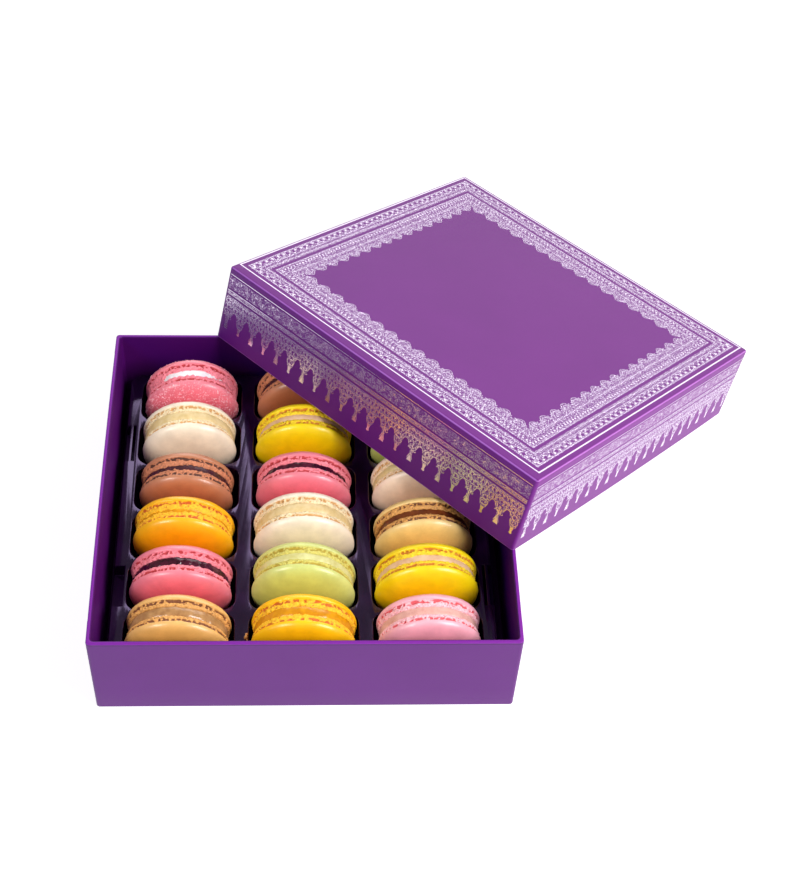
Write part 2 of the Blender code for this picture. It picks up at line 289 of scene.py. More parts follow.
# %% Fold the box
def folded_board(width, depth, height, board, bow, fold_radius, tab_rise, rubbed_and_highlit):
    """An open-topped box, its underside at z = 0. Its rim takes a paler colour, for rubbed paper
    and a painted highlight, and so do its lower folds when the rubbed flag is set. Without that
    flag a band of painted shade runs under the rim.
    """
    bm = bmesh.new()
    bmesh.ops.create_cube(bm, size=1)
    bmesh.ops.scale(bm, vec=(width, depth, height), verts=bm.verts)
    bmesh.ops.translate(bm, vec=(0, 0, height / 2), verts=bm.verts)
    bm.normal_update()
    bmesh.ops.delete(bm, geom=[f for f in bm.faces if f.normal.z > 0.5], context="FACES_ONLY")
    bevel(bm, upright(bm), CORNER_RADIUS, 5)
    draw_in(bm, width, depth, board, 0)
    draw_in(bm, width, depth, 0, height - board)
    bmesh.ops.edgeloop_fill(bm, edges=[e for e in bm.edges if e.is_boundary])
    bmesh.ops.recalc_face_normals(bm, faces=bm.faces)
    sharp = [e for e in bm.edges if e.calc_face_angle(0) > radians(60)]
    bevel(bm, [e for e in sharp if e.verts[0].co.z < board / 2], fold_radius, 5)
    bevel(bm, [e for e in sharp if e.is_valid and e.verts[0].co.z > board / 2], RIM_RADIUS, 3)
    for step in range(-4, 5):
        cut(bm, (0, step * depth / 10, 0), (0, 1, 0))
        cut(bm, (step * width / 10, 0, 0), (1, 0, 0))
    for side in (-1, 1):
        for inset in (TAB_LENGTH, TAB_LENGTH + TAB_SLOPE):
            cut(bm, (0, side * (depth / 2 - inset), 0), (0, 1, 0))
    for level in (0.25 * height, 0.5 * height, 0.75 * height, *(height - drop for drop in SHADE_UNDER_RIM)):
        cut(bm, (0, 0, level), (0, 0, 1))
    for vert in bm.verts:
        x, y, z = vert.co
        side = 1 if x > 0 else -1
        if abs(x) > width / 2 - WALL_ZONE:
            vert.co.x += side * bow * max(1 - (2 * y / depth) ** 2, 0) * z / height
        if abs(x) > width / 2 - WALL_FACE and abs(y) > depth / 2 - TAB_LENGTH - 0.01 * MM:
            vert.co.x += side * tab_rise
    # The paler colour paints the highlight along the rim and the lid's top fold, and stands for rubbed
    # paper there.
    fold = bm.verts.layers.float.new("fold")
    for vert in bm.verts:
        inset = min(width / 2 - abs(vert.co.x), depth / 2 - abs(vert.co.y))
        on_fold = rubbed_and_highlit and max(vert.co.z, inset) < 0.45 * fold_radius
        vert[fold] = 1.0 if on_fold or vert.co.z > height - HIGHLIT_RIM else 0.0
    bm.normal_update()
    # Inner faces, the inner floor and a band under the box's rim take the darker lining colour, which
    # also paints the shade there.
    inner = bm.faces.layers.float.new("inner")
    for face in bm.faces:
        middle, normal = face.calc_center_median(), face.normal
        faces_in = middle.x * normal.x + middle.y * normal.y < -5 * MM
        shade_under_rim = not rubbed_and_highlit and height - SHADE_UNDER_RIM[0] < middle.z < height - SHADE_UNDER_RIM[1]
        on_floor = normal.z > 0.5 and middle.z < height / 2
        face[inner] = 1.0 if faces_in or shade_under_rim or on_floor else 0.0
    return bm


bm = folded_board(BOX_WIDTH, BOX_DEPTH, BOX_HEIGHT, BOX_BOARD, BOX_BOW,
                  fold_radius=0.35 * MM, tab_rise=0.08 * MM, rubbed_and_highlit=False)
box = new_piece("paper_box", bm, box_paper, ["box"], sharp=40)
print("box faces", len(box.data.polygons))

# %% [markdown]
# The lid is the same fold, wider and lower. It is drawn upright around its own middle, its
# open edge at z = 0, and one matrix then carries it and its foil to where it leans: the far
# edge on the table, two near corners on the rims of the box.

# %% Fold the lid and lean it on the box
LID_WIDTH, LID_DEPTH, LID_HEIGHT = 203.8 * MM, 198.8 * MM, 43.9 * MM
LID_BOARD, LID_BOW = 1.6 * MM, 0.9 * MM
LID_PLACE = Matrix.Translation((0.0923655, 0.0932448, 0.0275000))
LID_PLACE = LID_PLACE @ Euler((-0.2811948, 0, -0.7731808)).to_matrix().to_4x4()
TURN_OVER = Matrix.Translation((0, 0, LID_HEIGHT)) @ Matrix.Rotation(pi, 4, "X")

bm = folded_board(LID_WIDTH, LID_DEPTH, LID_HEIGHT, LID_BOARD, LID_BOW,
                  fold_radius=1.2 * MM, tab_rise=0, rubbed_and_highlit=True)
bmesh.ops.transform(bm, matrix=LID_PLACE @ TURN_OVER, verts=bm.verts)
lid = new_piece("paper_lid", bm, lid_paper, ["lid"], sharp=40)
print("lid faces", len(lid.data.polygons))

# %% [markdown]
# The lid's border is silver foil pressed on the paper: rules, beads, fans and tassels on a fine
# net. Each shape is drawn flat in millimetres, one repeat of the pattern at a time, and the
# rows of repeats meet at the lid's corners. This border is a design of its own: bands of beads
# and small ovals, a row of fans round the top, and tassels and bells that hang on the sides.

# %% Shapes to draw the foil with
LAYER, LAYERS = 0.001, 13


def lay(bm, verts, x, y):
    """Moves a shape to its place. Each lies a micron off the last, so that none share a plane."""
    bmesh.ops.translate(bm, vec=(x, y, len(bm.verts) % LAYERS * LAYER), verts=verts)


def bar(bm, x, y, width, height, turn=0):
    """A straight line or block, given by its middle."""
    corners = bmesh.ops.create_grid(bm, x_segments=1, y_segments=1, size=0.5)["verts"]
    bmesh.ops.scale(bm, vec=(width, height, 1), verts=corners)
    if turn:
        bmesh.ops.rotate(bm, matrix=Matrix.Rotation(turn, 3, "Z"), verts=corners)
    lay(bm, corners, x, y)


def taper(bm, x, top, bottom, top_width, bottom_width):
    corners = bmesh.ops.create_grid(bm, x_segments=1, y_segments=1, size=0.5)["verts"]
    for vert in corners:
        vert.co.x *= top_width if vert.co.y > 0 else bottom_width
        vert.co.y *= top - bottom
    lay(bm, corners, x, (top + bottom) / 2)


def dot(bm, x, y, wide, high, sides=8):
    rim = bmesh.ops.create_circle(bm, cap_ends=True, segments=sides, radius=1)["verts"]
    bmesh.ops.scale(bm, vec=(wide, high, 1), verts=rim)
    lay(bm, rim, x, y)


def arc(bm, x, y, radius, line, start=0.0, turn=2 * pi, steps=16, squeeze=1):
    """A curved line: a short edge across the line is swung round the middle."""
    inner = bm.verts.new((radius - line / 2, 0, 0))
    outer = bm.verts.new((radius + line / 2, 0, 0))
    swung = [inner, outer, bm.edges.new((inner, outer))]
    bmesh.ops.rotate(bm, matrix=Matrix.Rotation(start, 3, "Z"), verts=swung[:2])
    known = set(bm.verts)
    bmesh.ops.spin(bm, geom=swung, cent=(0, 0, 0), axis=(0, 0, 1), angle=turn, steps=steps,
                   use_merge=turn >= 2 * pi)
    made = [v for v in bm.verts if v not in known] + swung[:2]
    bmesh.ops.scale(bm, vec=(squeeze, 1, 1), verts=made)
    lay(bm, made, x, y)


print("foil shapes ready")

# %% [markdown]
# Up to four sheets share each side of the lid: a net and a thinner veil at the bottom, gaps
# of bare paper colour above them, and the bright foil on top. Their heights differ by
# hundredths of a millimetre, so that no two faces lie in one plane.

# %% Draw one repeat of the lid's top
SHEETS = {"net": 0.03, "veil": 0.03, "gaps": 0.045, "foil": 0.06}
TOP_REPEATS, SIDE_REPEATS = 22, 11


def beads(sheet, pitch, count, level, wide, high, shift=0.0):
    """A row of small spots in one repeat."""
    for step in range(count):
        dot(sheet, (step - (count - 1) / 2 + shift) * pitch / count, level, wide, high, 6)


def top_repeat(sheets, pitch):
    """From the lid's edge inwards, y is the distance from the edge in mm."""
    net, gaps, foil = sheets["net"], sheets["gaps"], sheets["foil"]
    bar(foil, 0, 3.35, pitch, 0.8)
    bar(net, 0, 10.15, pitch, 8.4)
    beads(foil, pitch, 8, 6.5, 0.3, 0.3)
    for side in (-1, 1):
        dot(gaps, side * pitch / 4, 8.3, 0.9, 1.15, 6)
        dot(foil, side * pitch / 4, 9.9, 0.5, 0.45, 6)
    for spot in (0, pitch / 2):
        dot(foil, spot, 7.9, 0.65, 0.65, 8)
        dot(gaps, spot, 9.6, 0.35, 0.6, 6)
    beads(gaps, pitch, 8, 11.7, 0.32, 0.5)
    beads(foil, pitch, 8, 10.8, 0.26, 0.26, 0.5)
    beads(foil, pitch, 8, 13.1, 0.32, 0.32, 0.5)

    bar(net, 0, 20.9, pitch, 9.6)
    beads(foil, pitch, 8, 16.6, 0.26, 0.26)
    beads(foil, pitch, 4, 18.6, 0.5, 0.5)
    beads(gaps, pitch, 4, 18.6, 0.3, 0.6, 0.5)
    beads(gaps, pitch, 4, 20.6, 0.42, 0.62)
    beads(foil, pitch, 8, 22.5, 0.3, 0.3)
    beads(gaps, pitch, 4, 24.1, 0.4, 0.4, 0.5)
    fan = pitch / 2 - 0.15
    dot(net, 0, 25.5, fan, 3.2, 20)
    arc(foil, 0, 25.4, fan - 0.2, 0.22, 0, pi, 12, squeeze=0.72)
    arc(foil, 0, 25.4, fan - 1.9, 0.2, 0, pi, 10)
    for spoke in range(5):
        angle = pi * (spoke + 1) / 6
        dot(gaps, 3.1 * cos(angle), 25.5 + 2.1 * sin(angle), 0.4, 0.36, 5)
    for picot in range(7):
        angle = pi * (picot + 0.5) / 7
        dot(foil, (fan + 0.1) * cos(angle), 25.5 + 3.35 * sin(angle), 0.26, 0.26, 6)


print("the top has", TOP_REPEATS, "fans to a side")

# %% Draw one repeat of the lid's side
def side_repeat(sheets, pitch):
    """y is the height above the lid's open edge in mm. A tassel and a bell hang in each."""
    net, veil, gaps, foil = sheets["net"], sheets["veil"], sheets["gaps"], sheets["foil"]
    bar(foil, 0, 40.6, pitch, 0.36)
    bar(veil, 0, 36.0, pitch, 6.8)
    bar(foil, 0, 31.3, pitch, 0.32)
    bar(net, 0, 30.3, pitch, 1.3)
    bar(foil, 0, 29.3, pitch, 0.28)
    bar(net, 0, 23.1, pitch, 9.6)
    for step in range(8):
        spot = (step - 3.5) * pitch / 8
        arc(foil, spot, 25.4, 0.95, 0.24, 0, pi, 6)
        dot(gaps, spot, 25.2, 0.42, 1.0, 6)
        arc(foil, spot + pitch / 16, 21.8, 0.95, 0.24, 0, pi, 6)
        dot(gaps, spot + pitch / 16, 21.6, 0.42, 1.0, 6)
        dot(foil, spot, 23.0, 0.28, 0.28, 5)
    for notch in (-pitch / 2, 0, pitch / 2):
        dot(gaps, notch, 17.6, 1.5, 2.4, 16)
        arc(foil, notch, 17.6, 2.4, 0.36, 0, pi, 12, squeeze=0.76)
    tassel, bell = -pitch / 4, pitch / 4
    dot(net, tassel, 18.4, 2.9, 3.6, 14)
    taper(net, tassel, 17.5, 10.8, 2.2, 1.6)
    taper(foil, tassel, 11.6, 8.5, 1.0, 3.0)
    bar(foil, tassel, 15.2, 0.34, 8.0)
    for side in (-1, 1):
        dot(gaps, tassel + side * 1.1, 19.2, 0.4, 0.95, 6)
        arc(foil, tassel + side * 1.7, 15.6, 0.85, 0.36, 0 if side < 0 else pi, pi, 6)
        bar(foil, tassel + side * 1.0, 11.4, 0.30, 3.2, side * 0.35)
    dot(net, bell, 16.4, 2.6, 4.6, 16)
    arc(foil, bell, 16.4, 2.7, 0.36, pi, pi, 12, squeeze=0.9)
    arc(foil, bell, 18.2, 1.5, 0.30, 0, 2 * pi, 10)
    dot(gaps, bell, 18.2, 0.55, 0.75, 6)
    for side in (-1, 0, 1):
        dot(gaps, bell + side * 1.1, 15.0 - 0.6 * abs(side), 0.34, 0.8, 6)
    taper(foil, bell, 12.6, 9.4, 2.2, 0.9)
    dot(foil, bell, 9.3, 0.95, 0.8, 8)


print("a side has", SIDE_REPEATS, "tassels and bells")

# %% [markdown]
# A row of repeats is merged into one flat sheet and trimmed at its ends, slantwise on the top
# so that the rows meet in a neat corner, straight on the sides. It gets a UV map of its plan for
# the net to follow, and is thickened into a closed plate that is sunk a little into the paper.

# %% Thicken a sheet and bow it
SUNK, PLAN_SIZE = 0.03, 100
SIDE_DROPS = (0.5 * MM, 1.6 * MM, 2.6 * MM, 2.6 * MM)
TOP_FIT = Matrix.Translation((-1.1 * MM, 1.8 * MM, 0)) @ Matrix.Diagonal((1.006, 0.993, 1, 1))
ROWS_OF = {"top": {"draw": top_repeat, "repeats": TOP_REPEATS, "inset": 0, "slant": 1},
           "sides": {"draw": side_repeat, "repeats": SIDE_REPEATS, "inset": 1.7, "slant": 0}}


def thicken(bm, height):
    """A flat sheet in mm becomes a closed plate in metres, its top at the given height."""
    bmesh.ops.remove_doubles(bm, verts=bm.verts, dist=1e-4)
    for face in bm.faces:
        if face.normal.z < 0:
            face.normal_flip()
    plan = bm.loops.layers.uv.new("plan")
    for face in bm.faces:
        for loop in face.loops:
            loop[plan].uv = loop.vert.co.xy / PLAN_SIZE
    bmesh.ops.translate(bm, vec=(0, 0, height), verts=bm.verts)
    raised = bmesh.ops.extrude_face_region(bm, geom=bm.faces[:], use_keep_orig=True)["geom"]
    lowered = [v for v in raised if isinstance(v, bmesh.types.BMVert)]
    bmesh.ops.translate(bm, vec=(0, 0, -height - SUNK), verts=lowered)
    bmesh.ops.recalc_face_normals(bm, faces=bm.faces)
    bmesh.ops.scale(bm, vec=(MM, MM, MM), verts=bm.verts)


def bow_out(bm):
    """Foil on the lid's bowed walls follows them."""
    for vert in bm.verts:
        x, y, z = vert.co
        if abs(x) > LID_WIDTH / 2 - WALL_ZONE:
            share = max(1 - (2 * y / LID_DEPTH) ** 2, 0) * (1 - z / LID_HEIGHT)
            vert.co.x += (1 if x > 0 else -1) * LID_BOW * max(share, 0)


print("sheets end up", {name: round(top + SUNK, 3) for name, top in SHEETS.items()}, "mm thick")

# %% Lay the foil in rows
def copies(mesh, shifts):
    """One bmesh with a copy of the mesh at each shift."""
    whole = bmesh.new()
    for shift in shifts:
        known = len(whole.verts)
        whole.from_mesh(mesh)
        whole.verts.ensure_lookup_table()
        bmesh.ops.translate(whole, vec=shift, verts=whole.verts[known:])
    bpy.data.meshes.remove(mesh)
    return whole


def join(parts):
    """Several bmeshes as one."""
    whole = bmesh.new()
    for part in parts:
        mesh = as_mesh("part", part)
        whole.from_mesh(mesh)
        bpy.data.meshes.remove(mesh)
    return whole


def foil_row(sheet, length, placing, draw, repeats, inset, slant):
    """One side's row of repeats, placed on the upright lid."""
    sheets = {name: bmesh.new() for name in SHEETS}
    pitch = length / repeats
    draw(sheets, pitch)
    repeat = as_mesh("repeat", sheets.pop(sheet))
    for unused in sheets.values():
        unused.free()
    row = copies(repeat, [((step - (repeats - 1) / 2) * pitch, 0, 0) for step in range(repeats)])
    for side in (-1, 1):
        cut(row, (side * (length / 2 - inset), 0, 0), (side, slant, 0), dist=1e-5, trim=True)
    thicken(row, SHEETS[sheet])
    bmesh.ops.transform(row, matrix=placing, verts=row.verts)
    bow_out(row)
    return row


def lid_sheet(part, sheet):
    """The four rows of one sheet. The print sits a little off the middle of the lid."""
    on_top = part == "top"
    rows = []
    for quarter in range(4):
        across, along = (LID_DEPTH, LID_WIDTH) if quarter % 2 == 0 else (LID_WIDTH, LID_DEPTH)
        lift = Matrix.Translation((0, -across / 2, LID_HEIGHT if on_top else -SIDE_DROPS[quarter]))
        stand = Matrix.Identity(4) if on_top else Matrix.Rotation(pi / 2, 4, "X")
        placing = Matrix.Rotation(quarter * pi / 2, 4, "Z") @ lift @ stand
        rows.append(foil_row(sheet, along / MM, placing, **ROWS_OF[part]))
    whole = join(rows)
    if on_top:
        bmesh.ops.transform(whole, matrix=TOP_FIT, verts=whole.verts)
    bmesh.ops.transform(whole, matrix=LID_PLACE, verts=whole.verts)
    return whole


print("foil rows ready")

# %% [markdown]
# Foil is a metal that mirrors what is around it, so it looks white on top and picks up the
# colours of the macarons on the side that leans over them. The net and the veil are finer
# than is worth modelling, so a shared group opens holes in random cells of the UV map. A
# slow noise makes the holes larger here and smaller there, which gives the veil its clouds,
# and the softness blurs their edges, as the eye does with thread that is too fine to see.

# %% Build the lace group
def reckon(tree, operation, *values):
    return add(tree, "Math", dict(enumerate(values)), operation=operation).outputs["Value"]


lace, taken, given = new_group(
    "lace_holes",
    {"Vector": ["Vector"], "Float": ["Cells", "Clouds", "Smallest hole", "Largest hole", "Softness"]},
    {"Float": ["Cover"]})
cells = add(lace, "TexVoronoi", {"Vector": taken["Vector"], "Scale": taken["Cells"], "Randomness": 0.8},
            voronoi_dimensions="2D")
clouds = add(lace, "TexNoise", {"Vector": taken["Vector"], "Scale": taken["Clouds"], "Detail": 3.0})
hole = span(lace, clouds.outputs["Fac"], taken["Smallest hole"], taken["Largest hole"], 0.35, 0.65)
past = reckon(lace, "SUBTRACT", cells.outputs["Distance"], hole)
inward = reckon(lace, "MULTIPLY", taken["Softness"], -1.0)
fill(lace, given, {"Cover": span(lace, past, 0.04, 0.96, inward, taken["Softness"])})
print("group", lace.name, "with", len(lace.nodes), "nodes")

# %% Make the foil finishes
SILVER, SHINE = "#ebdef2", 0.9

foil_finish, tree, shader = start_material("silver_foil")
surface = grained(tree, on_piece(tree), patch=60.0, fine=1800.0)
fill(tree, shader, {"Base Color": rgba(SILVER), "Metallic": SHINE,
                    "Roughness": span(tree, surface["Patches"], 0.15, 0.24),
                    "Normal": bumped(tree, surface["Grain"], strength=0.15, depth=0.05 * MM)})


def lace_finish(name, cells, clouds, smallest, largest, softness):
    material, tree, shader = start_material(name)
    cover = add(tree, "Group", {
        "Vector": add(tree, "UVMap", uv_map="plan").outputs["UV"], "Cells": cells, "Clouds": clouds,
        "Smallest hole": smallest, "Largest hole": largest, "Softness": softness},
        node_tree=lace).outputs["Cover"]
    fill(tree, shader, {"Base Color": mix(tree, cover, LID_PURPLE[0], SILVER),
                        "Metallic": reckon(tree, "MULTIPLY", cover, SHINE),
                        "Roughness": span(tree, cover, 0.42, 0.2), "Specular IOR Level": 0.3})
    return material


top_net = lace_finish("silver_top_net", 138.0, 30.0, 0.43, 0.57, 0.16)
side_net = lace_finish("silver_side_net", 138.0, 30.0, 0.36, 0.52, 0.12)
side_veil = lace_finish("silver_veil", 125.0, 36.0, 0.42, 0.78, 0.26)
FINISHES = {"top": {"net": top_net, "gaps": lid_paper, "foil": foil_finish},
            "sides": {"net": side_net, "veil": side_veil, "gaps": lid_paper, "foil": foil_finish}}
print("foil finishes", [finish.name for finish in FINISHES["sides"].values()])

# %% Press the foil on the lid
for part, finishes in FINISHES.items():
    for sheet, finish in finishes.items():
        piece = new_piece(f"lid_{part}_{sheet}", lid_sheet(part, sheet), finish, sharp=30)
        print(piece.name, "triangles", sum(len(f.vertices) - 2 for f in piece.data.polygons))

# %% [markdown]
# The tray is a thin glossy sheet drawn over a mould. Seen from above it is a block with the
# wells pressed into it, so that is how it is made: each well is a cube with round corners,
# cut at many levels and drawn in to follow a macaron's round edge. A Boolean takes them all
# out of the block at once, and a fine bevel then catches the light along every rim.

# %% Shape the tray's wells
ROWS, COLUMNS, COLUMN_PITCH, ROW_PITCH = 6, 3, 59.5 * MM, 30.3 * MM
LAND_HEIGHT, TRAY_BOTTOM, TRAY_SHIFT = 28 * MM, 2.3 * MM, (-1.0 * MM, -1.0 * MM)
TRAY_TOP, TRAY_FOOT = (185 * MM, 187 * MM), (193 * MM, 188 * MM)
WELL_WIDTH, WELL_LENGTH, WELL_FLOOR, CORNER = 52.5 * MM, 28 * MM, 3 * MM, 6 * MM
# Level in mm, then the share of the width and of the length that the well has there.
WELL_LEVELS = [(3, 0.36, 0.79), (4.5, 0.50, 0.86), (6, 0.60, 0.91), (8, 0.70, 0.95),
               (10, 0.775, 0.98), (13, 0.86, 1.0), (16, 0.92, 1.0), (20, 0.965, 1.0),
               (24, 0.99, 1.0), (27, 1.0, 1.0), (32, 1.0, 1.0)]


def well_centre(row, column):
    return (column - 1) * COLUMN_PITCH + TRAY_SHIFT[0], (2.5 - row) * ROW_PITCH + TRAY_SHIFT[1]


def cutter_block(bm, low, high):
    corners = bmesh.ops.create_cube(bm, size=1)["verts"]
    size = [high[i] - low[i] for i in range(3)]
    bmesh.ops.scale(bm, vec=size, verts=corners)
    bmesh.ops.translate(bm, vec=[(high[i] + low[i]) / 2 for i in range(3)], verts=corners)
    return corners


def well_cutter():
    """One well round its own middle."""
    bm = bmesh.new()
    low, high = WELL_LEVELS[0][0] * MM, WELL_LEVELS[-1][0] * MM
    cutter_block(bm, (-WELL_WIDTH / 2, -WELL_LENGTH / 2, low), (WELL_WIDTH / 2, WELL_LENGTH / 2, high))
    bevel(bm, upright(bm), CORNER, 5)
    for level, _, _ in WELL_LEVELS[1:-1]:
        cut(bm, (0, 0, level * MM), (0, 0, 1))
    for vert in bm.verts:
        _, wide, long = min(WELL_LEVELS, key=lambda entry: abs(entry[0] * MM - vert.co.z))
        vert.co.x *= wide
        vert.co.y *= long
    return bm


places = [(row, column) for row in range(ROWS) for column in range(COLUMNS)]
hollows = copies(as_mesh("well", well_cutter()), [(*well_centre(*place), 0) for place in places])
print("wells", len(places), "faces", len(hollows.faces))

# %% [markdown]
# A channel joins the wells of each column, so that fingers can lift a macaron out. The
# margins have a plain notch at one end and a slim rib with a slot at the other, in turn.

# %% Add channels and notches to the hollows
CHANNEL_WIDTH, CHANNEL_FLOOR = 34 * MM, 14 * MM
NOTCH_LENGTH, NOTCH_WIDTH, NOTCH_FLOOR = 24 * MM, 5 * MM, 20 * MM
RIB_WIDTH, SLOT_WIDTH, PAST_EDGE = 1.6 * MM, 1.2 * MM, 8 * MM

for column in range(COLUMNS):
    x, back = well_centre(0, column)
    front = well_centre(ROWS - 1, column)[1]
    cutter_block(hollows, (x - CHANNEL_WIDTH / 2, front, CHANNEL_FLOOR),
                 (x + CHANNEL_WIDTH / 2, back, LAND_HEIGHT + 4 * MM))
for side, row, ribbed in ((-1, 4, False), (1, 1, False), (-1, 1, True), (1, 4, True)):
    y = well_centre(row, 0)[1]
    edge = TRAY_SHIFT[0] + side * TRAY_TOP[0] / 2
    middle = edge - side * NOTCH_WIDTH / 2
    spans = [(edge - side * NOTCH_WIDTH, edge + side * PAST_EDGE)]
    if ribbed:
        spans = [(middle + side * RIB_WIDTH / 2, edge + side * PAST_EDGE),
                 (middle - side * RIB_WIDTH / 2, middle - side * (RIB_WIDTH / 2 + SLOT_WIDTH))]
    for inner, outer in spans:
        cutter_block(hollows, (min(inner, outer), y - NOTCH_LENGTH / 2, NOTCH_FLOOR),
                     (max(inner, outer), y + NOTCH_LENGTH / 2, LAND_HEIGHT + (6 + abs(inner) * 10) * MM))
print("hollows have", len(hollows.faces), "faces with the channels and notches")

# %% Press the hollows into the tray
block = bmesh.new()
cutter_block(block, (-TRAY_TOP[0] / 2, -TRAY_TOP[1] / 2, TRAY_BOTTOM),
             (TRAY_TOP[0] / 2, TRAY_TOP[1] / 2, LAND_HEIGHT))
bevel(block, upright(block), CORNER, 6)
low_corners = [v for v in block.verts if v.co.z < LAND_HEIGHT / 2]
flare = (TRAY_FOOT[0] / TRAY_TOP[0], TRAY_FOOT[1] / TRAY_TOP[1], 1)
bmesh.ops.scale(block, vec=flare, verts=low_corners)
bmesh.ops.translate(block, vec=(*TRAY_SHIFT, 0), verts=block.verts)

for solid in (block, hollows):
    bmesh.ops.recalc_face_normals(solid, faces=solid.faces)
block_object = as_object("tray_block", as_mesh("tray_block", block))
hollow_object = as_object("tray_hollows", as_mesh("tray_hollows", hollows))
press = block_object.modifiers.new("press", "BOOLEAN")
press.object = hollow_object
press.operation = "DIFFERENCE"
press.use_self = True
bpy.context.view_layer.update()
solved = block_object.evaluated_get(bpy.context.evaluated_depsgraph_get())
pressed = bpy.data.meshes.new_from_object(solved)
tray = bmesh.new()
tray.from_mesh(pressed)
for spare in (block_object, hollow_object):
    bpy.data.objects.remove(spare)
print("tray faces after the cut", len(tray.faces))

# %% [markdown]
# Glossy dark plastic shows mostly as its highlights, so the rims get a small bevel, and the
# material gets a slow ripple, as sheet that has been drawn over a mould has.

# %% Finish the tray
bmesh.ops.remove_doubles(tray, verts=tray.verts, dist=0.002 * MM)
bmesh.ops.dissolve_limit(tray, angle_limit=radians(0.5), verts=tray.verts, edges=tray.edges)
rims = [e for e in tray.edges if e.is_manifold and e.calc_face_angle(0) > radians(40)
        and min(v.co.z for v in e.verts) > TRAY_BOTTOM + 1 * MM]
bevel(tray, rims, 0.5 * MM, 3)

moulding, tree, shader = start_material("dark_moulding")
surface = grained(tree, on_piece(tree), patch=45.0, fine=900.0)
fill(tree, shader, {"Base Color": mix(tree, surface["Patches"], "#1c0725", "#240a2e"),
                    "Roughness": span(tree, surface["Grain"], 0.09, 0.16, 0.3, 0.7),
                    "Normal": bumped(tree, surface["Patches"], strength=0.2, depth=0.1 * MM),
                    "Specular IOR Level": 1.0, "Specular Tint": (0.72, 0.54, 1.0, 1)})
tray_piece = new_piece("moulded_tray", tray, moulding, ["tray"], sharp=35)
print("tray faces", len(tray_piece.data.polygons))

# %% [markdown]
# Eleven shells and eleven fillings make the eighteen macarons. A shell's colours are those of
# its dome and its foot, and a dark colour painted as shade into the hollows of the foot. A
# filling has a light and a dark tone of one colour, and a roughness, lowest for the wet ones.

# %% Colours of the shells and fillings
# Dome, foot, and a dark colour that paints the shade in the foot's hollows.
SHELLS = {
    "rose": ("#e67081", "#f48595", "#b2161f"),
    "blush": ("#f7a3b3", "#fbc0ca", "#dd4a54"),
    "cream": ("#ecdbc3", "#efdcb4", "#cf9550"),
    "ivory": ("#f5d9c3", "#f7dcba", "#cc9450"),
    "lemon": ("#efcc01", "#f4d210", "#c86c04"),
    "apricot": ("#f3a601", "#fcbd08", "#c64c06"),
    "amber": ("#ffb801", "#fcc40c", "#cc5a08"),
    "pistachio": ("#c6cd6e", "#d3ca64", "#b49722"),
    "coffee": ("#e6be73", "#db9d52", "#5c240e"),
    "caramel": ("#e4a85a", "#e3a457", "#6c3012"),
    "cocoa": ("#b16b4a", "#cc7e58", "#36110b"),
}
FILLINGS = {
    "white_cream": ("#f6f2f3", "#e2dce4", 0.25),
    "vanilla_cream": ("#e6cf9f", "#d4b77a", 0.35),
    "dark_ganache": ("#4d2730", "#36181f", 0.25),
    "apricot_curd": ("#e29c14", "#c67f0c", 0.2),
    "dark_jam": ("#54142e", "#1e040c", 0.1),
    "salted_toffee": ("#bc8e5c", "#996c42", 0.15),
    "pale_mousse": ("#e9c59c", "#d8a984", 0.35),
    "pistachio_cream": ("#dbd99a", "#c8c078", 0.35),
    "amber_curd": ("#e29c0a", "#c67c08", 0.2),
    "brown_toffee": ("#7a3c16", "#54260c", 0.15),
    "pink_cream": ("#e8b3a8", "#d79a90", 0.3),
}
print("finishes", len(SHELLS), "shells", len(FILLINGS), "fillings")

# %% [markdown]
# A shell has a smooth dome and a craggy foot with hollows where it broke open in the oven.
# The mesh says where, in three attributes: how deep a pit is, what belongs to the foot, and
# how far the dome has risen. The group mixes the three colours by them, the dark one as painted
# shade in the hollows. It paints a lighter sheen near the dome's lip and a deeper, more
# saturated shade towards the crown, and lets flecks of almond show through.

# %% Build the skin group and the shell finishes
skin, taken, given = new_group(
    "macaron_skin",
    {"Vector": ["Vector"], "Float": ["Pit shade", "Foot", "Rise"], "Color": ["Dome", "Crust", "Hollow shade"]},
    {"Color": ["Color"], "Float": ["Roughness", "Height"]})
surface = grained(skin, taken["Vector"], patch=150.0, fine=1500.0)
# Painted light: a gamma below one lightens the dome near its lip like a sheen, and one above one deepens
# it towards the crown like shade.
shade_gamma = span(skin, taken["Rise"], 0.84, 1.2, 0.2, 1.0)
lit_lip_shaded_crown = add(skin, "Gamma", {"Color": taken["Dome"], "Gamma": shade_gamma})
flecks = reckon(skin, "MULTIPLY_ADD", surface["Grain"], 0.5, surface["Patches"])
dome = scaled(skin, lit_lip_shaded_crown.outputs["Color"], span(skin, flecks, 0.94, 1.1, 0.3, 1.2))
almond = mix(skin, span(skin, surface["Grain"], 0.35, 0.0, 0.30, 0.42), dome, taken["Crust"])
crust = scaled(skin, taken["Crust"], span(skin, surface["Grain"], 0.76, 1.25, 0.35, 0.65))
body = mix(skin, taken["Foot"], almond, crust)
# The hollow colour paints shade into the pits, cracks and crevices of the foot.
torn = reckon(skin, "MULTIPLY_ADD", surface["Grain"], 0.7, taken["Pit shade"])
relief = span(skin, taken["Foot"], 0.36, 1.0)
fill(skin, given, {"Color": mix(skin, span(skin, torn, 0.0, 0.92, 0.62, 1.0), body, taken["Hollow shade"]),
                   "Roughness": span(skin, taken["Foot"], 0.34, 0.7),
                   "Height": reckon(skin, "MULTIPLY", surface["Grain"], relief)})


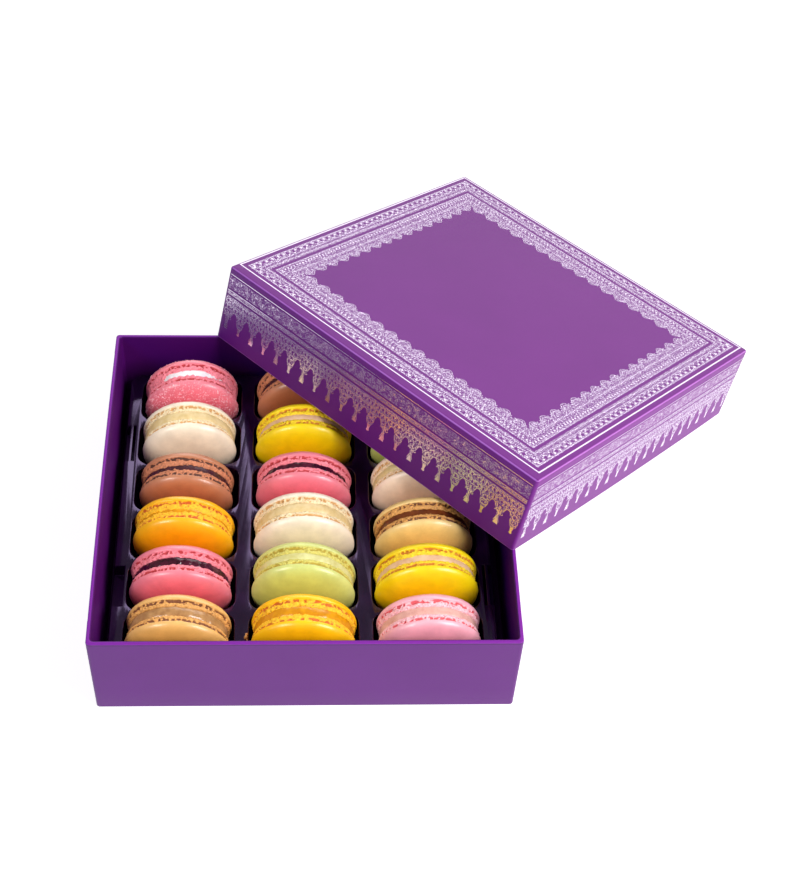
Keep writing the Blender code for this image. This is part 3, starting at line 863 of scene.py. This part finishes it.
def shell_finish(name, dome_colour, crust_colour, hollow_shade_colour):
    material, tree, shader = start_material(name + "_shell")
    made = add(tree, "Group", {
        "Vector": on_piece(tree), "Pit shade": painted(tree, "pit_shade"), "Foot": painted(tree, "foot"),
        "Rise": painted(tree, "rise"), "Dome": rgba(dome_colour), "Crust": rgba(crust_colour),
        "Hollow shade": rgba(hollow_shade_colour)}, node_tree=skin).outputs
    fill(tree, shader, {"Base Color": made["Color"], "Roughness": made["Roughness"],
                        "Normal": bumped(tree, made["Height"], strength=0.5, depth=0.3 * MM),
                        "Specular IOR Level": 0.7})
    return material


shell_finishes = {name: shell_finish(name, *colours) for name, colours in SHELLS.items()}
print("shell finishes", len(shell_finishes))

# %% [markdown]
# Fillings are smoother than shells. Creams are satin, jam and toffee are wet, and all of
# them are a little streaky, so one group with two colours is enough for the set.

# %% Build the filling finishes
def filling_finish(name, light, dark, roughness):
    material, tree, shader = start_material(name + "_filling")
    surface = grained(tree, on_piece(tree), patch=260.0, fine=900.0)
    satin = span(tree, surface["Grain"], roughness * 0.8, roughness * 1.3, 0.3, 0.7)
    fill(tree, shader, {"Base Color": mix(tree, surface["Patches"], dark, light), "Roughness": satin,
                        "Normal": bumped(tree, surface["Grain"], strength=0.35, depth=0.3 * MM)})
    return material


filling_finishes = {name: filling_finish(name, *look) for name, look in FILLINGS.items()}
print("filling finishes", len(filling_finishes))

# %% [markdown]
# A shell is turned like a pot: its outline is spun round the axis once, and that blank is
# copied for all thirty-six shells. The blank's flat face lies at z = 0. The dome rises above
# it, and the foot's frill hangs a millimetre below, to be lengthened or shortened later.

# %% Turn the blank of a shell
SHELL_STEPS = 336
RADIUS, FOOT_HEIGHT, DOME_HEIGHT, LIP_RISE = 25 * MM, 2.6 * MM, 7.7 * MM, 0.7 * MM
FRILL, DOME_POWER, SEAT_GAP = 1.0 * MM, 2.3, 0.3 * MM
DOME_ANGLES = (0, 1.5, 4, 8, 13, 19, 26, 34, 43, 53, 63, 73, 82, 90)
FOOT_RINGS = 13


def turned(outline, steps):
    """A closed solid spun from an outline that starts and ends on the axis."""
    bm = bmesh.new()
    chain = [bm.verts.new((reach, 0, level)) for reach, level in outline]
    line = [bm.edges.new(pair) for pair in zip(chain, chain[1:])]
    bmesh.ops.spin(bm, geom=chain + line, cent=(0, 0, 0), axis=(0, 0, 1), angle=2 * pi, steps=steps,
                   use_merge=True)
    bmesh.ops.remove_doubles(bm, verts=bm.verts, dist=0.001 * MM)
    bmesh.ops.recalc_face_normals(bm, faces=bm.faces)
    return bm


def dome_point(climb):
    """Reach and level of the dome's outline at an angle above its widest ring."""
    reach = max(cos(climb), 0) ** (2 / DOME_POWER) * RADIUS
    level = FOOT_HEIGHT + LIP_RISE + (DOME_HEIGHT - LIP_RISE) * sin(climb) ** (2 / DOME_POWER)
    return (reach if climb < radians(89.9) else 0, level)


def shell_outline():
    """From the middle of the flat face, out over the frill, the foot and the lip, to the crown."""
    points = [(0, 0), (0.5 * RADIUS, 0), (0.86 * RADIUS, 0), (0.885 * RADIUS, -0.7 * FRILL)]
    for ring in range(FOOT_RINGS):
        share = ring / (FOOT_RINGS - 1)
        points.append(((0.932 + 0.036 * share ** 0.5 + 0.012 * sin(pi * share)) * RADIUS,
                       share * (FOOT_HEIGHT + FRILL) - FRILL))
    points += [(0.972 * RADIUS, FOOT_HEIGHT + 0.15 * MM), (0.983 * RADIUS, FOOT_HEIGHT + 0.28 * MM),
               (0.993 * RADIUS, FOOT_HEIGHT + 0.45 * MM)]
    return points + [dome_point(radians(angle)) for angle in DOME_ANGLES]


shell_blank = as_mesh("shell_blank", turned(shell_outline(), SHELL_STEPS))
print("one shell has", len(shell_blank.vertices), "points")

# %% [markdown]
# A baked foot is broken up, and noise does the same here. Cells swell it into pebbles, a
# stretched noise opens a line of cracks under the dome's edge, and a third one frays the
# frill. Each shell draws its own place in the noise, so no two are alike.

# %% Crack the foot of one shell
def smooth_step(low, high, value):
    share = min(max((value - low) / (high - low), 0), 1)
    return share * share * (3 - 2 * share)


# Sizes in mm of what breaks up the foot, and a shift that keeps cracks and pebbles apart.
PEBBLE_SIZE, CRACK_SIZE, SPECK_SIZE, SEAM_SHIFT = 1.35, 1.5, 1.3, Vector((40, 40, 40))


def crackle(bm, offset, up, hang_top, hang_side):
    """Frill, pebbles, cracks and a slightly uneven dome. The sign of up tells where the top is."""
    pit_shade = bm.verts.layers.float.new("pit_shade")
    foot = bm.verts.layers.float.new("foot")
    rise = bm.verts.layers.float.new("rise")
    bm.normal_update()
    for vert in bm.verts:
        x, y, z = vert.co
        reach = vert.co.xy.length
        level = z / FOOT_HEIGHT
        if reach < 0.8 * RADIUS and level < 0.5:
            continue
        spot = vert.co / MM + offset
        if level > 1.2:
            swell = 0.14 * noise.noise(spot / 9) + 0.035 * noise.noise(spot / 2.6)
            vert.co += vert.normal * swell * MM
            vert[rise] = (z - FOOT_HEIGHT) / DOME_HEIGHT
            continue
        out = Vector((x, y, 0)) / reach
        if z < 0:
            side = smooth_step(0.96, 0.70, up * y / reach)
            hang = hang_top + (hang_side - hang_top) * side
            fray = 1 + 0.7 * noise.noise(spot / 7) + 0.9 * noise.noise(spot / 1.7)
            vert.co.z = z / FRILL * (hang * fray + 0.35 * max(noise.noise(spot / 1.1), -0.4)) * MM
        near = noise.voronoi(spot / PEBBLE_SIZE)[0]
        pebble = min(near[1] - near[0], 0.4) / 0.4
        wander = 0.80 + 0.2 * noise.noise(spot / 3.1)
        torn = smooth_step(-0.16, 0.06, noise.noise(spot / CRACK_SIZE + SEAM_SHIFT))
        seam = smooth_step(0.44, 0.18, abs(level - wander)) * torn
        speck = smooth_step(0.40, 0.24, noise.voronoi(spot / SPECK_SIZE)[0][0])
        speck *= smooth_step(-0.2, 0.15, noise.noise(spot / 3.3))
        ragged = 0.46 * (pebble - 0.5) + 0.40 * noise.noise(spot / 2.1)
        fade = 1 - 0.7 * smooth_step(1.02, 1.2, level)
        vert.co += out * (ragged - 0.62 * max(seam, 0.6 * speck)) * fade * MM
        # Where this is high, the shell's dark colour paints the shade in cracks, specks and the crevices
        # between pebbles.
        vert[pit_shade] = max(seam, 0.66 * speck, 0.42 * (1 - pebble)) * fade
        vert[foot] = 1 - smooth_step(1.02, 1.18, level)
    bm.normal_update()


print("cracks ready")

# %% [markdown]
# The filling is a disc that bulges between the shells, also turned once and copied. Jam is
# squeezed out unevenly and creams are smoother, so each filling has its own bulge at the top
# and at the sides, and its own waviness. The last two numbers say how far the shells' frills
# hang over it, in mm, at the top of a standing macaron and at its sides.

# %% Turn the blank of a filling
FILLING_STEPS, CORE = 220, 0.895
FILLING_EDGE = {
    "white_cream": (0.945, 0.895, 0.16, 1.25, 2.3), "vanilla_cream": (0.967, 0.962, 0.35, 0.25, 0.35),
    "dark_ganache": (0.925, 0.925, 0.12, 0.95, 0.7), "apricot_curd": (0.93, 0.93, 0.15, 1.25, 1.15),
    "dark_jam": (0.945, 0.930, 0.75, 0.55, 0.9), "salted_toffee": (0.957, 0.950, 0.3, 0.4, 0.4),
    "pale_mousse": (0.945, 0.940, 0.15, 0.65, 0.7), "pistachio_cream": (0.96, 0.955, 0.3, 0.45, 0.5),
    "amber_curd": (0.955, 0.945, 0.35, 1.0, 0.7), "brown_toffee": (0.925, 0.925, 0.25, 0.6, 0.4),
    "pink_cream": (0.945, 0.940, 0.25, 0.6, 0.6)}

edge_rings = [(0.0 if abs(angle) == 90 else cos(radians(angle)) ** 0.6, sin(radians(angle)))
              for angle in (-90, -68, -45, -22, 0, 22, 45, 68, 90)]
outline = [((CORE + (1 - CORE) * bulge) * RADIUS, level * MM) for bulge, level in edge_rings]
outline = [(0, -MM), (0.6 * RADIUS, -MM)] + outline + [(0.6 * RADIUS, MM), (0, MM)]
filling_blank = as_mesh("filling_blank", turned(outline, FILLING_STEPS))


def filling_body(size, half, bulge, side_bulge, waviness, offset):
    bm = bmesh.new()
    bm.from_mesh(filling_blank)
    for vert in bm.verts:
        vert.co.z *= half / MM
        reach = vert.co.xy.length
        if reach < 0.8 * RADIUS:
            continue
        out = Vector((vert.co.x, vert.co.y, 0)) / reach
        spot = vert.co / MM + offset
        wave = noise.noise(spot / 5.5) + 0.5 * noise.noise(spot / 1.8)
        share = (reach / RADIUS - CORE) / (1 - CORE)
        side = smooth_step(0.96, 0.70, vert.co.y / reach)
        fuller = CORE + share * (bulge + (side_bulge - bulge) * side - CORE)
        vert.co += out * ((fuller * RADIUS - reach) + wave * waviness * MM)
    bmesh.ops.scale(bm, vec=(size, size, 1), verts=bm.verts)
    return bm


print("one filling has", len(filling_blank.vertices), "points")

# %% [markdown]
# Now the eighteen macarons are set out row by row from the back. A line names the shell and
# the filling, then the filling's thickness in mm, the lean and the turn in degrees, the shift
# to the front and the width in mm. They are the frame's numbers, so each new piece fills the
# room of the node it stands for.

# %% Choose the macarons
MACARONS = [
    [("rose", "white_cream", 4.4, 4, 2, 0.6, 49.0),
     ("cocoa", "dark_ganache", 3.6, 5, 3, 0.0, 49.8),
     ("cream", "vanilla_cream", 3.8, 4, -2, 0.2, 50.0)],
    [("cream", "vanilla_cream", 5.0, 3, 2, -0.6, 48.4),
     ("lemon", "pale_mousse", 3.4, 5, -1, 0.8, 50.0),
     ("pistachio", "pistachio_cream", 3.6, 5, 1, 0.4, 50.0)],
    [("cocoa", "dark_ganache", 3.8, 7, -2, 1.0, 47.4),
     ("rose", "dark_jam", 3.2, 6, -2, 0.9, 48.6),
     ("ivory", "vanilla_cream", 3.8, 4, 2, 0.3, 50.2)],
    [("apricot", "apricot_curd", 3.0, 5, -2, 0.3, 49.8),
     ("cream", "vanilla_cream", 5.2, 3, 1, -0.2, 50.2),
     ("coffee", "brown_toffee", 3.6, 5, 2, 0.9, 49.2)],
    [("rose", "dark_jam", 4.2, 7, -1, -0.2, 49.6),
     ("pistachio", "pistachio_cream", 3.8, 1, -3, -0.1, 50.4),
     ("lemon", "pale_mousse", 3.6, 4, 1, 0.0, 50.8)],
    [("caramel", "salted_toffee", 5.0, 4, -2, -0.4, 50.0),
     ("amber", "amber_curd", 5.0, 4, -2, -0.2, 50.4),
     ("blush", "pink_cream", 4.4, 5, 1, -0.9, 49.8)],
]
print("kinds", len({entry[:2] for line in MACARONS for entry in line}))

# %% Set out the macarons
stands = {}
for row in range(ROWS):
    for column in range(COLUMNS):
        shell, filling, thickness, lean, turn, shift, width = MACARONS[row][column]
        draw = random.Random(10 * row + column)
        size = width * MM / 2 / RADIUS
        flat = thickness / 2 * MM + SEAT_GAP
        widest = flat + FOOT_HEIGHT + LIP_RISE
        lean = radians(lean)
        x, y = well_centre(row, column)
        z = WELL_FLOOR + SEAT_GAP + size * RADIUS * cos(lean) + widest * sin(lean)
        stand = Matrix.Translation((x, y - shift * MM, z))
        stand = stand @ Euler((pi / 2 + lean, 0, radians(turn))).to_matrix().to_4x4()
        place = f"r{row + 1}c{column + 1}"
        stands[place] = (stand, size, flat)
        bulge, side_bulge, waviness, hang_top, hang_side = FILLING_EDGE[filling]
        for part, up, facing in (("front", 1, 0), ("back", -1, pi)):
            offset = Vector([draw.uniform(0, 500) for _ in range(3)])
            bm = bmesh.new()
            bm.from_mesh(shell_blank)
            crackle(bm, offset, up, hang_top, hang_side)
            seat = Matrix.Translation((0, 0, flat)) @ Matrix.Diagonal((size * 0.996, size * 0.996, 1, 1))
            seat = stand @ Matrix.Rotation(facing, 4, "X") @ seat
            bmesh.ops.transform(bm, matrix=seat, verts=bm.verts)
            new_piece(f"{part}_dome_{place}", bm, shell_finishes[shell],
                      [f"{part}_shell_{place}"])
        offset = Vector([draw.uniform(0, 500) for _ in range(3)])
        bm = filling_body(size, flat + 0.1 * MM, bulge, side_bulge, waviness, offset)
        bmesh.ops.transform(bm, matrix=stand, verts=bm.verts)
        new_piece(f"middle_{place}", bm, filling_finishes[filling],
                  [f"filling_{place}"])
print("macarons", len(stands))

# %% [markdown]
# The first macaron is rolled in sugar. Small cubes are scattered over both domes, each with
# its own turn and size, and joined into one piece.

# %% Sugar the first macaron
SUGARED, CRYSTALS, SUGAR_SEED = "r1c1", 5200, 3


def sugar(count, seed):
    draw = random.Random(seed)
    stand, size, flat = stands[SUGARED]
    bm = bmesh.new()
    bmesh.ops.create_cube(bm, size=MM)
    cube = as_mesh("cube", bm)
    bm = bmesh.new()
    for _ in range(count):
        around = draw.uniform(0, 2 * pi)
        reach, level = dome_point(radians(draw.uniform(0, 1) ** 0.7 * 85))
        reach = reach * size * 0.998
        facing = 1 if draw.random() < 0.7 else -1
        spot = Vector((reach * cos(around), reach * sin(around), facing * (flat + level)))
        spin = Euler([draw.uniform(0, pi) for _ in range(3)]).to_matrix().to_4x4()
        shrink = Matrix.Scale(0.18 + 0.34 * draw.random() ** 4, 4)
        crystal = cube.copy()
        crystal.transform(stand @ Matrix.Translation(spot) @ spin @ shrink)
        bm.from_mesh(crystal)
        bpy.data.meshes.remove(crystal)
    bpy.data.meshes.remove(cube)
    return bm


sugar_finish, tree, shader = start_material("sugar_crystal")
surface = grained(tree, on_piece(tree), patch=700.0, fine=3000.0)
fill(tree, shader, {"Base Color": mix(tree, surface["Patches"], "#f193a6", "#fedae2"),
                    "Roughness": 0.25})
sugar_piece = new_piece("sugar_crystals", sugar(CRYSTALS, SUGAR_SEED), sugar_finish,
                        sharp=30)
print("sugar faces", len(sugar_piece.data.polygons))

# %% [markdown]
# A few crumbs lie beside the front macaron of the middle column. A crumb is an icosphere
# that noise has pulled out of shape.

# %% Scatter the crumbs
def crumbs(count, middle, spread, seed):
    draw = random.Random(seed)
    bm = bmesh.new()
    for _ in range(count):
        size = draw.uniform(0.35, 0.9) * MM
        lump = bmesh.ops.create_icosphere(bm, subdivisions=2, radius=size)["verts"]
        shift = Vector([draw.uniform(0, 99) for _ in range(3)])
        for vert in lump:
            vert.co *= 1 + 0.5 * noise.noise(vert.co / size * 1.3 + shift)
        across, along = (middle[i] + draw.uniform(-spread[i], spread[i]) for i in range(2))
        bmesh.ops.translate(bm, verts=lump, vec=(across, along, middle[2] + size * 0.8))
    return bm


CRUMB_SPOT = (-28.6 * MM, -78 * MM, LAND_HEIGHT)
lumps = crumbs(9, CRUMB_SPOT, spread=(0.9 * MM, 3.2 * MM), seed=5)
crumb_piece = new_piece("crumbs", lumps, shell_finishes["caramel"])
print("crumb faces", len(crumb_piece.data.polygons))

# %% [markdown]
# The stage is a wide pale floor that glows a little, like a light table, so that shadows stay
# soft. A large soft box stands at the right in front. The other lamps use light linking, so that
# purple paper and sweets each get what suits them: the tray and the macarons have a small warm
# box at the left and a lit white backdrop behind, and the papers and their foil a faint blue box
# and a backdrop of their own, which the foil mirrors. The room itself gives little light, and
# only where the eye looks straight at it is it as pale as the floor.

# %% Lay the floor
FLOOR_REACH = 3

bm = bmesh.new()
bmesh.ops.create_grid(bm, x_segments=1, y_segments=1, size=FLOOR_REACH)
floor = as_object("floor", as_mesh("floor", bm))
floor_finish, tree, shader = start_material("pale_floor")
fill(tree, shader, {"Base Color": (0.5, 0.5, 0.5, 1), "Roughness": 0.8,
                    "Emission Color": (1, 1, 1, 1), "Emission Strength": 0.9})
floor.data.materials.append(floor_finish)
floor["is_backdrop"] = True
print("floor", 2 * FLOOR_REACH, "m wide")

# %% Set the lights
MIDDLE, LEFT_PLACE, LEFT_SIZE = (0.03, 0.02, 0.03), (-0.80, -0.57, 0.87), (0.35, 0.4)
ROOM_GLOW = 0.24


def soft_box(name, place, aim, size, power, wanted=None, tint=(1, 1, 1)):
    """A lamp with a wide face. It falls on the wanted pieces alone, or on everything."""
    data = bpy.data.lights.new(name, "AREA")
    data.shape = "RECTANGLE"
    data.size, data.size_y = size
    data.energy, data.color = power, tint
    light = as_object(name, data)
    light.location = place
    light.rotation_euler = (Vector(aim) - Vector(place)).to_track_quat("-Z", "Y").to_euler()
    if wanted:
        chosen = bpy.data.collections.new(name + "_pieces")
        for piece in wanted:
            chosen.objects.link(piece)
        light.light_linking.receiver_collection = chosen


papers = [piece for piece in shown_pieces() if "paper" in piece.name or piece.name.startswith("lid_")]
sweets = [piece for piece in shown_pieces() if piece not in papers]
soft_box("right_box", (0.87, -0.51, 0.87), MIDDLE, (0.5, 0.6), 15)
soft_box("left_box", LEFT_PLACE, MIDDLE, LEFT_SIZE, 9, sweets, (1.0, 0.96, 0.91))
soft_box("backdrop", (0.6, 1.5, 1.0), (0.25, 0, 0.8), (2.6, 1.9), 44, sweets)
soft_box("paper_backdrop", (0.1, 1.6, 1.0), (0.1, 0, 1.0), (3.2, 1.9), 23, papers)
soft_box("cool_box", LEFT_PLACE, MIDDLE, LEFT_SIZE, 3.2, papers, (0.12, 0.2, 1.0))
world = bpy.data.worlds.new("world")
world.use_nodes = True
room = world.node_tree
seen = add(room, "LightPath").outputs["Is Camera Ray"]
fill(room, room.nodes["Background"], {"Color": (1, 1, 1, 1),
                                      "Strength": span(room, seen, ROOM_GLOW, 1.0)})
bpy.context.scene.world = world
bpy.context.scene.view_settings.view_transform = "Standard"
